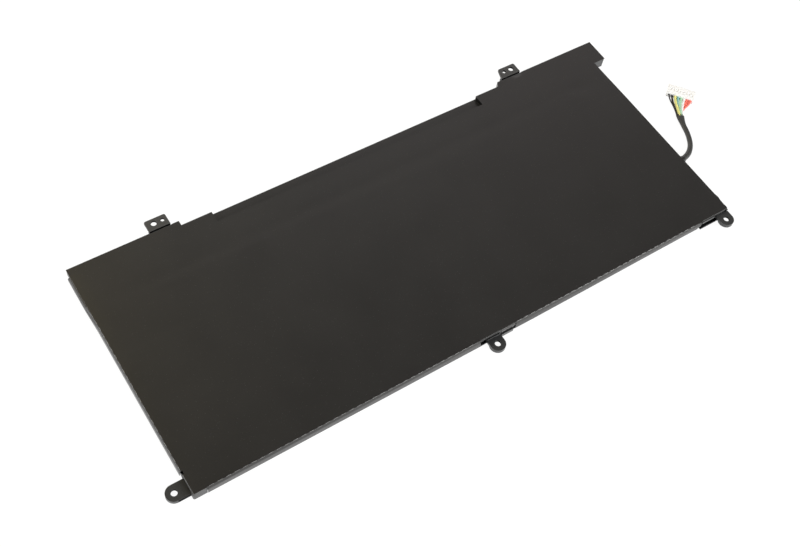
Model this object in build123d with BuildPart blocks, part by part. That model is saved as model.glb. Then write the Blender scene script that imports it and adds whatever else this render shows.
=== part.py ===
"""Flat laptop battery: three pouch cells in a moulded frame, closed by thin film, with a pigtail lead."""

import os
from math import cos, pi, radians, sin, tan

from build123d import *

os.makedirs("parts", exist_ok=True)

# Driving dimensions in millimetres: the plain face and what reaches past it
film_length = 262.0
film_width = 109.4
pack_height = 5.3
left_lug_reach = 8.5
front_lug_reach = 6.45
tab_reach = 6.2
block_reach = 6.3
block_depth = 12.0

# Films and soft layers
film_thickness = 0.15
flap_gap = 0.05
cover_thickness = 0.3
tape_thickness = 0.1
foam_thickness = 0.9
swell_gap = 0.2
cell_clearance = 0.2

# Walls of the frame
side_wall = 1.4
front_wall = 1.3
right_wall = 1.0
rib = 1.0
bay_wall = 1.0
roof = 0.6
rail_height = 3.15
bay_depth = 20.7
bay_height = 3.6
channel_width = 20.0
corner_radius = 0.6
corner_match = 0.01

# Back edge: two steps and the shallow recess in the middle
step_half = 81.4
step_depth = 2.4
step_chamfer = 1.4
ledge_half = 67.8
ledge_offset = 0.3
ledge_width = 5.4
ledge_drop = 2.0
ledge_shelf = 0.6

# Screw lugs
lug_radius = 3.4
lug_hole = 2.6
lug_thickness = 1.2
lug_skirt = 0.85
lug_wall = 0.8
low_lug_drop = 3.1
high_lug_drop = 1.3
left_lug_place = 5.3
front_lug_offset = 3.3
right_lug_shift = 0.3
lug_groove = 0.7
gusset_length = 4.9
gusset_width = 0.9
corner_foot = 5.7
front_foot_left = 6.8
front_foot_right = 9.7
right_foot = 14.8
core_depth = 1.0
core_margin = 0.3
core_height = 1.35
core_shift = 0.9
slit_height = 0.9
foot_sill = 0.6

# Back tabs, each with a screw hole and a pin hole
tab_spacing = 190.2
tab_offset = 0.7
left_tab_width = 9.6
right_tab_width = 10.6
right_tab_taper = 1.65
tab_thickness = 1.1
tab_corner = 0.8
tab_groove = 0.7
tab_root = 1.2
tab_root_drop = 2.4
tab_groove_drop = 1.5
tab_hole = 2.5
tab_pin_hole = 1.5
tab_hole_spacing = 183.6
tab_hole_offset = 0.9
tab_hole_inset = 2.4
tab_hole_pitch = 3.95

# Flaps of the top film, and the slits along their folds
front_flap_left = 4.3
front_flap_right = 3.0
left_flap_drop = 3.4
left_flap_back = 3.8
left_flap_front = 10.2
short_flap_drop = 2.2
flap_clear = 1.3
flap_notch = 0.9
slit_length = 2.0
slit_width = 0.22
slit_pitch = 3.5
slit_inset = 0.55
film_setback = 0.5
sheet_inset = 0.3
base_film_setback = 1.2

# Pouch cells and their leads
cell_count = 3
cell_edge = 1.1
terrace = 4.0
terrace_thickness = 0.5
terrace_inset = 1.2
lead_width = 6.0
lead_thickness = 0.15
lead_spacing = 28.0
lead_notch_clearance = 0.5
lead_landing = 3.5
lead_tape_thickness = 0.08
cell_tape_width = 12.0
cell_tape_inset = 9.0

# Protection board and what is soldered to it
board_thickness = 0.8
board_standoff = 0.3
board_clearance = 0.5
board_left_inset = 18.0
board_right_inset = 5.0
pin_diameter = 1.6
pin_clearance = 0.1
pin_shoulder = 3.0
pin_proud = 0.5
weld_tab_length = 4.5
weld_tab_thickness = 0.3
switch_size = 3.2
switch_height = 0.8
switch_pitch = 4.6
gauge_size = 5.0
gauge_height = 0.85
protector_size = 3.0
protector_height = 0.75
fuse_length = 5.4
fuse_width = 3.2
fuse_height = 0.95
shunt_length = 6.4
shunt_width = 3.2
shunt_height = 0.6
bead_length = 1.6
bead_width = 0.8
bead_height = 0.8
capacitor_length = 2.0
capacitor_width = 1.25
capacitor_height = 0.9
resistor_length = 1.6
resistor_width = 0.8
resistor_height = 0.45
part_pitch = 3.0
small_part_count = 5

# Pigtail lead: sleeve, wires and connector
sleeve_diameter = 2.6
sleeve_clearance = 0.2
sleeve_place = 32.5
sleeve_height = 2.2
sleeve_sag = 1.7
sleeve_inner = 1.75
sleeve_turns = [(5.5, 0.7), (11.7, 4.7), (15.4, 11.1), (17.2, 17.5), (19.45, 21.9)]
bend_share = 0.45
wire_diameter = 0.62
wire_stack = 0.85
wire_count = 8
pin_pitch = 1.5
wire_bend = 2.0
fan_lead = 0.3
housing_reach = 26.15
housing_shift = 30.15
housing_length = 5.6
housing_height = 3.0
housing_end = 1.5
housing_angle = 38.0
cavity_size = 1.05
terminal_size = 0.85
terminal_depth = 1.2
housing_lip = 0.7
pin_window = 0.65
solder_reach = 2.0
lane_inset = 2.5

# Edges worked out from the driving dimensions; the whole is centred over the origin
left = (left_lug_reach - block_reach - film_length) / 2
right = left + film_length
front = (front_lug_reach - tab_reach - film_width) / 2
back = front + film_width
middle = (left + right) / 2
top = pack_height
frame_top = top - film_thickness
frame_base = film_thickness
wall_left = left + film_thickness + flap_gap
wall_front = front + film_thickness + flap_gap
roof_under = frame_top - roof
rail_base = frame_top - rail_height

# Cell field, lead channel and board bay
field_left = wall_left + side_wall
field_right = right - right_wall - channel_width - rib
field_front = wall_front + front_wall
bay_front = back - bay_depth
bay_inner = bay_front + bay_wall
bay_base = top - bay_height + cover_thickness
cell_pitch = (field_right - field_left + rib) / cell_count
cell_xs = [field_left + cell_pitch * (k + 0.5) - rib / 2 for k in range(cell_count)]
cell_width = cell_pitch - rib - 2 * cell_clearance
cell_front = field_front + foam_thickness
cell_back = bay_front - cell_clearance
cell_base = film_thickness + tape_thickness
cell_top = frame_top - swell_gap
cell_middle_z = (cell_base + cell_top) / 2
step_back = back - step_depth
ledge_front = step_back - ledge_width
ledge_top = top - ledge_drop
ledge_left = middle + ledge_offset - ledge_half
ledge_right = middle + ledge_offset + ledge_half
block_right = right + block_reach
block_front = back - block_depth

# Lugs and tabs
left_lug_x = left - left_lug_reach + lug_radius
left_lug_y = front + left_lug_place
front_lug_x = middle + front_lug_offset
right_lug_x = right - lug_radius + right_lug_shift
front_lug_y = front - front_lug_reach + lug_radius
low_lug_top = top - low_lug_drop
high_lug_top = top - high_lug_drop
foot_left = front_lug_x - front_foot_left
foot_right = front_lug_x + front_foot_right
left_tab_outer = middle + tab_offset - tab_spacing / 2
right_tab_outer = middle + tab_offset + tab_spacing / 2
tab_edge = back + tab_reach

# Board
board_left = left + board_left_inset
board_right = right - board_right_inset
board_front = bay_inner + board_clearance
board_back = ledge_front - bay_wall - board_clearance
board_y = (board_front + board_back) / 2
board_top = roof_under - board_standoff
board_under = board_top - board_thickness
board_pin_xs = [
    (cell_xs[0] + cell_xs[1]) / 2,
    (cell_xs[1] + cell_xs[2]) / 2,
    board_right - pin_shoulder,
]
board_pin_y = board_back - pin_shoulder / 2
lead_xs = [x + side * lead_spacing / 2 for x in cell_xs for side in (-1, 1)]
weld_tab_front = board_front + board_clearance
lead_z = cell_middle_z - lead_thickness / 2
landing_z = board_under - weld_tab_thickness - lead_thickness


def span(x0, x1, y0, y1):
    """Rectangle between two corners, in the sketch that is open."""
    with Locations(((x0 + x1) / 2, (y0 + y1) / 2)):
        Rectangle(x1 - x0, y1 - y0)


def face_outline(recess):
    """Plan of the plain face with its stepped back edge and block, cut out over the recess if asked."""
    with BuildSketch() as outline:
        with BuildLine():
            Polyline(
                (left, front),
                (right, front),
                (right, block_front),
                (block_right, block_front),
                (block_right, back),
                (middle + step_half + step_chamfer / 2, back),
                (middle + step_half - step_chamfer / 2, step_back),
                (middle - step_half, step_back),
                (middle - step_half, back),
                (left, back),
                close=True,
            )
        make_face()
        if recess:
            with Locations((middle + ledge_offset, (ledge_front + back) / 2)):
                Rectangle(2 * ledge_half, back - ledge_front, mode=Mode.SUBTRACT)
    return outline.sketch


def lug_outline(x, y, towards_x, towards_y, root):
    """Plan of one lug: a round end about the screw hole and a straight shank back to its wall."""
    shank = Vector(x, y) + Vector(towards_x, towards_y) * root
    with BuildSketch() as outline:
        with Locations((x, y)):
            Circle(lug_radius)
        with Locations(((x + shank.X) / 2, (y + shank.Y) / 2)):
            Rectangle(
                root if towards_x else 2 * lug_radius,
                root if towards_y else 2 * lug_radius,
            )
        with Locations((x, y)):
            Circle(lug_hole / 2, mode=Mode.SUBTRACT)
    return outline.sketch


def tab_outline(side, outer, inner, taper):
    """Plan of one back tab with its two holes: the outer side is straight, the inner one may lean."""
    screw_x = middle + tab_hole_offset + side * tab_hole_spacing / 2
    groove = back + tab_groove
    with BuildSketch() as outline:
        with BuildLine():
            Polyline(
                (outer, groove),
                (outer, tab_edge),
                (inner + side * taper, tab_edge),
                (inner, groove),
                close=True,
            )
        make_face()
        fillet(outline.vertices().group_by(Axis.Y)[-1], tab_corner)
        with Locations((screw_x, tab_edge - tab_hole_inset)):
            Circle(tab_hole / 2, mode=Mode.SUBTRACT)
        with Locations((screw_x - side * tab_hole_pitch, tab_edge - tab_hole_inset)):
            Circle(tab_pin_hole / 2, mode=Mode.SUBTRACT)
    return outline.sketch


def flap_notch_outline():
    """Plan of the small notch where the left flap stops."""
    notch_back = front + left_flap_front
    with BuildSketch() as outline:
        span(left, left + flap_notch, notch_back - flap_clear, notch_back)
    return outline.sketch


def raised(sketch, height):
    """The same plan, lifted to a height."""
    return sketch.moved(Location((0, 0, height)))


# Moulded frame
with BuildPart() as frame:
    # Rim and ribs of the cell field, with one through bay for each cell
    with BuildSketch(Plane.XY.offset(frame_base)):
        span(wall_left, right, wall_front, bay_inner)
        with Locations(*[(x, (field_front + bay_front) / 2) for x in cell_xs]):
            Rectangle(cell_pitch - rib, bay_front - field_front, mode=Mode.SUBTRACT)
    extrude(amount=frame_top - frame_base)
    # Lead channel at the right, open below
    with BuildSketch(Plane.XY.offset(frame_base)):
        span(field_right + rib, right - right_wall, field_front, bay_front)
    extrude(amount=roof_under - frame_base, mode=Mode.SUBTRACT)
    # Front rail: its underside is raised between the feet that carry the lugs
    with BuildSketch(Plane.XY.offset(frame_base)):
        span(left + corner_foot, foot_left, wall_front, field_front)
        span(foot_right, right - right_foot, wall_front, field_front)
    extrude(amount=rail_base - frame_base, mode=Mode.SUBTRACT)
    with BuildSketch(Plane.XY.offset(frame_base)):
        span(left, left + corner_foot, front, field_front)
        span(left, field_left, front, front + left_flap_front - flap_clear)
        span(foot_left, foot_right, front, field_front)
        span(right - right_foot, right, front, field_front)
    extrude(amount=frame_top - frame_base)
    # The short flap beside the front lug lies in a shallow relief
    with BuildSketch(Plane.XY.offset(top - short_flap_drop - flap_gap)):
        span(front_lug_x + lug_radius, foot_right, front, wall_front)
    extrude(amount=short_flap_drop, mode=Mode.SUBTRACT)
    # Board bay along the back, hollow from below
    with BuildSketch(Plane.XY.offset(bay_base)) as bay:
        add(face_outline(recess=False))
        with Locations((0, (front + bay_front) / 2)):
            Rectangle(3 * film_length, bay_front - front, mode=Mode.SUBTRACT)
    extrude(amount=frame_top - bay_base)
    # Foot of the block, down to the rest face
    with BuildSketch(Plane.XY.offset(frame_base)):
        span(right, block_right, block_front, back)
    extrude(amount=bay_base - frame_base)
    with BuildSketch(Plane.XY.offset(bay_base)):
        span(left, wall_left, bay_front, back - left_flap_back + flap_gap)
    extrude(amount=frame_top - bay_base, mode=Mode.SUBTRACT)
    with BuildSketch(Plane.XY.offset(bay_base)):
        add(bay.sketch.moved(Location((0, 0, -bay_base))))
        offset(amount=-bay_wall, kind=Kind.INTERSECTION, mode=Mode.REPLACE)
    extrude(amount=roof_under - bay_base, mode=Mode.SUBTRACT)
    # Shallow recess in the back edge: a lowered shelf with a riser round it
    with BuildSketch(Plane.XY.offset(bay_base)):
        span(
            ledge_left - bay_wall,
            ledge_right + bay_wall,
            ledge_front - bay_wall,
            step_back,
        )
    extrude(amount=frame_top - bay_base)
    with BuildSketch(Plane.XY.offset(ledge_top)):
        span(ledge_left, ledge_right, ledge_front, back)
    extrude(amount=top - ledge_top, mode=Mode.SUBTRACT)
    with BuildSketch(Plane.XY.offset(bay_base)):
        span(ledge_left, ledge_right, ledge_front, step_back - bay_wall)
    extrude(amount=ledge_top - ledge_shelf - bay_base, mode=Mode.SUBTRACT)
    # Passage for the wires from the board bay into the lead channel
    with BuildSketch(Plane.XY.offset(bay_base)):
        span(field_right + rib, right - right_wall, bay_front, bay_inner)
    extrude(amount=roof_under - bay_base, mode=Mode.SUBTRACT)
    # Notches through which the cell leads reach the board
    with BuildSketch(Plane.XY.offset(frame_base)):
        with Locations(*[(x, bay_front + bay_wall / 2) for x in lead_xs]):
            Rectangle(lead_width + 2 * lead_notch_clearance, bay_wall)
    extrude(amount=landing_z - frame_base, mode=Mode.SUBTRACT)
    # Shouldered pins that carry the board under the roof
    with BuildSketch(Plane.XY.offset(board_top)):
        with Locations(*[(x, board_pin_y) for x in board_pin_xs]):
            Circle(pin_shoulder / 2)
    extrude(amount=roof_under - board_top)
    with BuildSketch(Plane.XY.offset(board_under - pin_proud)):
        with Locations(*[(x, board_pin_y) for x in board_pin_xs]):
            Circle(pin_diameter / 2)
    extrude(amount=board_top - board_under + pin_proud)
    # Upright corners of the rim
    rim_corners = [(left, back), (block_right, back), (block_right, block_front), (left, front)]
    fillet(
        [
            edge
            for edge in frame.edges().filter_by(Axis.Z)
            if any(abs(edge.center().X - x) + abs(edge.center().Y - y) < corner_match for x, y in rim_corners)
        ],
        corner_radius,
    )
    # Screw lugs: a plate with a round skirt under it, the left one with a gusset under its front side
    left_lug = lug_outline(left_lug_x, left_lug_y, 1, 0, left_lug_reach - lug_radius)
    front_lug = lug_outline(front_lug_x, front_lug_y, 0, 1, front_lug_reach - lug_radius)
    right_lug = lug_outline(right_lug_x, front_lug_y, 0, 1, front_lug_reach - lug_radius)
    extrude(raised(left_lug, low_lug_top - lug_thickness), amount=lug_thickness)
    extrude(raised(front_lug, low_lug_top - lug_thickness), amount=lug_thickness)
    extrude(raised(right_lug, high_lug_top - lug_thickness), amount=lug_thickness)
    for lug_x, lug_y, lug_top in (
        (left_lug_x, left_lug_y, low_lug_top),
        (front_lug_x, front_lug_y, low_lug_top),
        (right_lug_x, front_lug_y, high_lug_top),
    ):
        with BuildSketch(Plane.XY.offset(lug_top - lug_thickness - lug_skirt)):
            with Locations((lug_x, lug_y)):
                Circle(lug_radius)
                Circle(lug_radius - lug_wall, mode=Mode.SUBTRACT)
        extrude(amount=lug_skirt)
    with BuildSketch(Plane.XY.offset(frame_base)):
        gusset_front = left_lug_y - lug_radius
        span(left - gusset_length, left, gusset_front, gusset_front + gusset_width)
    extrude(amount=low_lug_top - lug_thickness - frame_base)
    # Core-outs and slits that the mould leaves in the wall beside the front lugs
    with BuildSketch(Plane.XZ.offset(-front)):
        core_base = frame_top - core_margin - core_height
        core_x = front_lug_x - core_shift
        span(core_x - lug_radius, core_x + lug_radius, core_base, frame_top - core_margin)
        span(front_lug_x + lug_radius, foot_right, low_lug_top, low_lug_top + slit_height)
        span(foot_left, front_lug_x - lug_radius, low_lug_top - lug_thickness, frame_top - core_margin)
        span(right - right_foot, right_lug_x - lug_radius, frame_base + foot_sill, high_lug_top)
        under_lug = high_lug_top - lug_thickness - core_margin
        span(right_lug_x - lug_radius, right_lug_x, frame_base + foot_sill, under_lug)
    extrude(amount=-core_depth, mode=Mode.SUBTRACT)
    # Grooves in the walls above the left and right lugs
    with BuildSketch(Plane.XY.offset(low_lug_top)):
        span(left, left + lug_groove, left_lug_y - lug_radius, left_lug_y + lug_radius)
    extrude(amount=frame_top - low_lug_top, mode=Mode.SUBTRACT)
    with BuildSketch(Plane.XY.offset(high_lug_top)):
        span(right_lug_x - lug_radius - core_margin, right - right_wall, front, front + lug_groove)
    extrude(amount=frame_top - high_lug_top, mode=Mode.SUBTRACT)
    # Notch at the front end of the left flap
    with BuildSketch(Plane.XY.offset(frame_top - core_height)):
        add(flap_notch_outline())
    extrude(amount=core_height, mode=Mode.SUBTRACT)
    # Back tabs: a root under a groove, and the plate with its two holes
    for side, outer, inner, taper in (
        (-1, left_tab_outer, left_tab_outer + left_tab_width, 0),
        (1, right_tab_outer, right_tab_outer - right_tab_width, right_tab_taper),
    ):
        tab_start = min(outer, inner)
        tab_end = max(outer, inner)
        with BuildSketch(Plane.XY.offset(top - tab_root_drop)):
            span(tab_start, tab_end, back - bay_wall, back + tab_groove + tab_root)
        extrude(amount=tab_root_drop - tab_thickness)
        with BuildSketch(Plane.XY.offset(top - tab_groove_drop)):
            span(tab_start, tab_end, back, back + tab_groove)
        extrude(amount=tab_groove_drop, mode=Mode.SUBTRACT)
        extrude(raised(tab_outline(side, outer, inner, taper), top - tab_thickness), amount=tab_thickness)

# Route of the sleeve: out of the right wall, down to the table and round towards the back
exit_y = front + sleeve_place
turn_heights = [sleeve_sag] + [sleeve_diameter / 2] * (len(sleeve_turns) - 1)
route = [(right - sleeve_inner, exit_y, sleeve_height)] + [
    (right + along, exit_y + aside, height)
    for (along, aside), height in zip(sleeve_turns, turn_heights)
]


def route_radii(points):
    """Radius at each inner point: as large as the two runs beside it allow."""
    radii = []
    for before, here, after in zip(points, points[1:], points[2:]):
        run_in = Vector(*here) - Vector(*before)
        run_out = Vector(*after) - Vector(*here)
        turn = radians(run_in.get_angle(run_out))
        radii.append(bend_share * min(run_in.length, run_out.length) / tan(turn / 2))
    return radii


# Notch in the right wall for the sleeve, open below
notch_radius = sleeve_diameter / 2 + sleeve_clearance
with BuildPart(mode=Mode.PRIVATE) as sleeve_notch:
    with BuildSketch(Plane.YZ.offset(right - 2 * right_wall)):
        with Locations((exit_y, sleeve_height)):
            Circle(notch_radius)
        span(exit_y - notch_radius, exit_y + notch_radius, frame_base, sleeve_height)
    extrude(amount=3 * right_wall)
with frame:
    add(sleeve_notch.part, mode=Mode.SUBTRACT)
frame.part.label = "frame"
export_step(frame.part, "parts/frame.step")

# Top film: the face, its flaps and the slits along their folds
with BuildPart() as top_film:
    with BuildSketch(Plane.XY.offset(frame_top)):
        add(face_outline(recess=True))
        with Locations((right - right_foot / 2, front)):
            Rectangle(right_foot, 2 * film_setback, mode=Mode.SUBTRACT)
        add(flap_notch_outline(), mode=Mode.SUBTRACT)
    extrude(amount=film_thickness)
    # Front flap in two lengths, deeper at the left, and a short piece beside the front lug
    flap_start = left + corner_foot
    flap_end = right - right_foot - flap_clear
    notch_start = foot_left
    notch_end = foot_right + flap_clear
    with BuildSketch(Plane.XZ.offset(-front)):
        flap_taper = (front_flap_left - front_flap_right) / (flap_end - flap_start)
        for x0, x1 in ((flap_start, notch_start), (notch_end, flap_end)):
            with BuildLine():
                Polyline(
                    (x0, frame_top),
                    (x0, top - front_flap_left + flap_taper * (x0 - flap_start)),
                    (x1, top - front_flap_left + flap_taper * (x1 - flap_start)),
                    (x1, frame_top),
                    close=True,
                )
            make_face()
        span(front_lug_x + lug_radius, notch_end - flap_gap, top - short_flap_drop, frame_top)
    extrude(amount=-film_thickness)
    # Left flap
    with BuildSketch(Plane.YZ.offset(left)):
        span(front + left_flap_front, back - left_flap_back, top - left_flap_drop, frame_top)
    extrude(amount=film_thickness)
    # Slits
    front_slits = [
        x0 + slit_pitch * (k + 0.5)
        for x0, x1 in ((flap_start, notch_start), (notch_end, flap_end))
        for k in range(int((x1 - x0) / slit_pitch))
    ]
    left_length = back - left_flap_back - front - left_flap_front
    left_slits = [
        front + left_flap_front + slit_pitch * (k + 0.5) for k in range(int(left_length / slit_pitch))
    ]
    with BuildSketch(Plane.XY.offset(frame_top)):
        with Locations(*[(x, front + slit_inset) for x in front_slits]):
            Rectangle(slit_length, slit_width)
        with Locations(*[(left + slit_inset, y) for y in left_slits]):
            Rectangle(slit_width, slit_length)
    extrude(amount=film_thickness, mode=Mode.SUBTRACT)
top_film.part.label = "top_film"
export_step(top_film.part, "parts/top_film.step")

# Bottom film under the cells and the lead channel
with BuildPart() as bottom_film:
    with BuildSketch():
        span(left + sheet_inset, right - sheet_inset, front + base_film_setback, bay_inner)
    extrude(amount=film_thickness)
bottom_film.part.label = "bottom_film"
export_step(bottom_film.part, "parts/bottom_film.step")

# Sheet that closes the board bay from below
with BuildPart() as bay_cover:
    with BuildSketch(Plane.XY.offset(bay_base - cover_thickness)):
        add(bay.sketch.moved(Location((0, 0, -bay_base))))
        offset(amount=-sheet_inset, kind=Kind.INTERSECTION, mode=Mode.REPLACE)
        with Locations((0, (front + bay_inner + sheet_inset) / 2)):
            Rectangle(3 * film_length, bay_inner + sheet_inset - front, mode=Mode.SUBTRACT)
        with Locations(((right - sheet_inset + block_right) / 2, back - block_depth / 2)):
            Rectangle(block_reach + sheet_inset, block_depth, mode=Mode.SUBTRACT)
    extrude(amount=cover_thickness)
bay_cover.part.label = "bay_cover"
export_step(bay_cover.part, "parts/bay_cover.step")

# Pouch cells: a body with round sides and the thin sealed terrace that the leads leave
body_back = cell_back - terrace
for cell_x, cell_name in zip(cell_xs, ("cell_left", "cell_middle", "cell_right")):
    with BuildPart() as cell:
        with BuildSketch(Plane.XY.offset(cell_base)):
            span(cell_x - cell_width / 2, cell_x + cell_width / 2, cell_front, body_back)
        extrude(amount=cell_top - cell_base)
        fillet(cell.edges().filter_by(Axis.Y), cell_edge)
        with BuildSketch(Plane.XY.offset(cell_middle_z - terrace_thickness / 2)):
            terrace_half = cell_width / 2 - terrace_inset
            span(cell_x - terrace_half, cell_x + terrace_half, body_back - cell_edge, cell_back)
        extrude(amount=terrace_thickness)
    cell.part.label = cell_name
    export_step(cell.part, f"parts/{cell_name}.step")


def lead_strips(places):
    """Flat leads that leave the terraces, pass the notches and rise to the board's weld tabs."""
    rise_start = bay_inner + lead_thickness
    landing_end = weld_tab_front + lead_landing
    with BuildPart() as strips:
        for place in places:
            with BuildSketch(Plane.YZ.offset(place - lead_width / 2)):
                with BuildLine():
                    Polyline(
                        (cell_back, lead_z),
                        (rise_start, lead_z),
                        (weld_tab_front, landing_z),
                        (landing_end, landing_z),
                        (landing_end, landing_z + lead_thickness),
                        (weld_tab_front, landing_z + lead_thickness),
                        (rise_start, lead_z + lead_thickness),
                        (cell_back, lead_z + lead_thickness),
                        close=True,
                    )
                make_face()
            extrude(amount=lead_width)
    return strips.part


positive_leads = lead_strips(lead_xs[1::2])
positive_leads.label = "positive_leads"
export_step(positive_leads, "parts/positive_leads.step")
negative_leads = lead_strips(lead_xs[0::2])
negative_leads.label = "negative_leads"
export_step(negative_leads, "parts/negative_leads.step")

# Insulating tape on the terraces, and double-sided tape under the cells
with BuildPart() as lead_tape:
    with BuildSketch(Plane.XY.offset(cell_middle_z + terrace_thickness / 2)):
        tape_half = lead_spacing / 2 + lead_width
        for cell_x in cell_xs:
            span(cell_x - tape_half, cell_x + tape_half, body_back + cell_edge, cell_back)
    extrude(amount=lead_tape_thickness)
lead_tape.part.label = "lead_tape"
export_step(lead_tape.part, "parts/lead_tape.step")

with BuildPart() as cell_tape:
    with BuildSketch(Plane.XY.offset(film_thickness)):
        tape_reach = cell_width / 2 - cell_tape_inset
        for cell_x in cell_xs:
            for strip_y in (cell_front + cell_tape_inset, body_back - cell_tape_inset):
                span(
                    cell_x - tape_reach,
                    cell_x + tape_reach,
                    strip_y - cell_tape_width / 2,
                    strip_y + cell_tape_width / 2,
                )
    extrude(amount=tape_thickness)
cell_tape.part.label = "cell_tape"
export_step(cell_tape.part, "parts/cell_tape.step")

# Soft strip between the front wall and the cells
with BuildPart() as foam_strip:
    with BuildSketch(Plane.XY.offset(rail_base)):
        for cell_x in cell_xs:
            foam_half = cell_width / 2 - cell_edge
            span(cell_x - foam_half, cell_x + foam_half, field_front, cell_front)
    extrude(amount=cell_top - cell_edge - rail_base)
foam_strip.part.label = "foam_strip"
export_step(foam_strip.part, "parts/foam_strip.step")

# Protection board
with BuildPart() as circuit_board:
    with BuildSketch(Plane.XY.offset(board_under)):
        span(board_left, board_right, board_front, board_back)
        with Locations(*[(x, board_pin_y) for x in board_pin_xs]):
            Circle(pin_diameter / 2 + pin_clearance, mode=Mode.SUBTRACT)
    extrude(amount=board_thickness)
circuit_board.part.label = "circuit_board"
export_step(circuit_board.part, "parts/circuit_board.step")

with BuildPart() as weld_tabs:
    with BuildSketch(Plane.XY.offset(board_under - weld_tab_thickness)):
        with Locations(*[(x, weld_tab_front + weld_tab_length / 2) for x in lead_xs]):
            Rectangle(lead_width, weld_tab_length)
    extrude(amount=weld_tab_thickness)
weld_tabs.part.label = "weld_tabs"
export_step(weld_tabs.part, "parts/weld_tabs.step")


def on_board(places, length, width, height):
    """Parts of one size on the board's underside."""
    with BuildPart() as parts:
        with BuildSketch(Plane.XY.offset(board_under - height)):
            with Locations(*places):
                Rectangle(length, width)
        extrude(amount=height)
    return parts.part


part_row = board_back - switch_size / 2 - board_clearance
power_x = (lead_xs[4] + lead_xs[5]) / 2
gauge_x = (lead_xs[2] + lead_xs[3]) / 2
switch_places = [(power_x + switch_pitch * (k - 0.5), part_row) for k in (-1, 0, 1, 2)]
gauge_place = (gauge_x, board_back - gauge_size / 2 - board_clearance)
protector_place = (gauge_x + gauge_size + part_pitch, part_row)
fuse_place = (lead_xs[5] + lead_width + fuse_length, part_row)
shunt_place = (fuse_place[0] + fuse_length / 2 + part_pitch + shunt_length / 2, part_row)
bead_place = (gauge_x - gauge_size - part_pitch, part_row)
row_middle = (board_pin_xs[1] + lead_xs[4]) / 2
row_xs = [row_middle + part_pitch * (k - (small_part_count - 1) / 2) for k in range(small_part_count)]
capacitor_places = [(x, board_y) for x in row_xs]
resistor_places = [(x, board_y + part_pitch) for x in row_xs]

power_switches = on_board(switch_places, switch_size, switch_size, switch_height)
power_switches.label = "power_switches"
export_step(power_switches, "parts/power_switches.step")
gauge_chip = on_board([gauge_place], gauge_size, gauge_size, gauge_height)
gauge_chip.label = "gauge_chip"
export_step(gauge_chip, "parts/gauge_chip.step")
backup_protector = on_board([protector_place], protector_size, protector_size, protector_height)
backup_protector.label = "backup_protector"
export_step(backup_protector, "parts/backup_protector.step")
chemical_fuse = on_board([fuse_place], fuse_length, fuse_width, fuse_height)
chemical_fuse.label = "chemical_fuse"
export_step(chemical_fuse, "parts/chemical_fuse.step")
sense_resistor = on_board([shunt_place], shunt_length, shunt_width, shunt_height)
sense_resistor.label = "sense_resistor"
export_step(sense_resistor, "parts/sense_resistor.step")
thermistor = on_board([bead_place], bead_length, bead_width, bead_height)
thermistor.label = "thermistor"
export_step(thermistor, "parts/thermistor.step")
chip_capacitors = on_board(capacitor_places, capacitor_length, capacitor_width, capacitor_height)
chip_capacitors.label = "chip_capacitors"
export_step(chip_capacitors, "parts/chip_capacitors.step")
chip_resistors = on_board(resistor_places, resistor_length, resistor_width, resistor_height)
chip_resistors.label = "chip_resistors"
export_step(chip_resistors, "parts/chip_resistors.step")

# Sleeve of the pigtail, a plain tube along its route
with BuildPart() as cable_sleeve:
    with BuildLine() as sleeve_line:
        FilletPolyline(*route, radius=route_radii(route))
    with BuildSketch(Plane(origin=sleeve_line.line @ 0, z_dir=sleeve_line.line % 0)):
        Circle(sleeve_diameter / 2)
    sweep()
sleeve_length = sum(edge.length for edge in sleeve_line.edges())
sleeve_section = pi * sleeve_diameter**2 / 4
print("sleeve radii", [round(r, 1) for r in route_radii(route)])
print("sleeve length", round(sleeve_length, 2))
print("sleeve volume", round(cable_sleeve.part.volume, 2), "of", round(sleeve_section * sleeve_length, 2))
cable_sleeve.part.label = "cable_sleeve"
export_step(cable_sleeve.part, "parts/cable_sleeve.step")

# Wires stand two high and four across in the sleeve, and side by side at the connector
sleeve_end = sleeve_line.line @ 1
sleeve_heading = sleeve_line.line % 1
sleeve_side = Vector(sleeve_heading.Y, -sleeve_heading.X)
housing_axis = Vector(cos(radians(housing_angle)), sin(radians(housing_angle)))
housing_side = Vector(housing_axis.Y, -housing_axis.X)
housing_rear = Vector(right + housing_reach, exit_y + housing_shift, housing_height / 2)
housing_width = (wire_count - 1) * pin_pitch + 2 * housing_end


def stack_offset(index):
    """Sideways and upward offset of a wire where it leaves the sleeve."""
    return (index // 2 - (wire_count / 2 - 1) / 2) * wire_stack, (0.5 - index % 2) * wire_stack


def wire_tube(points):
    """One wire of straight runs that meet in mitres."""
    with BuildPart() as tube:
        with BuildLine():
            Polyline(*points)
        with BuildSketch(Plane(origin=points[0], z_dir=points[1] - points[0])):
            Circle(wire_diameter / 2)
        sweep(transition=Transition.RIGHT)
    return tube.part


def fan_wire(index):
    """A wire from the sleeve's end to its terminal in the connector."""
    across, rise = stack_offset(index)
    start = sleeve_end + sleeve_side * across + Vector(0, 0, rise)
    end = housing_rear + housing_side * ((index - (wire_count - 1) / 2) * pin_pitch)
    reach = (end - start).length
    leave = start + sleeve_heading * (reach * fan_lead)
    arrive = end - housing_axis * (reach * fan_lead)
    return wire_tube([start, leave, arrive, end + housing_axis * terminal_depth])


wire_groups = {
    "black_wires": (0, 1),
    "yellow_wire": (2,),
    "blue_wire": (3,),
    "green_wire": (4,),
    "white_wire": (5,),
    "red_wires": (6, 7),
}
for wire_name, indexes in wire_groups.items():
    with BuildPart() as wires:
        add([fan_wire(index) for index in indexes])
    wires.part.label = wire_name
    export_step(wires.part, f"parts/{wire_name}.step")

# The same wires inside, from the sleeve through the lead channel to the board
sleeve_start = sleeve_line.line @ 0
lane_start = field_right + rib + lane_inset
wire_z = board_under - wire_diameter / 2


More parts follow.
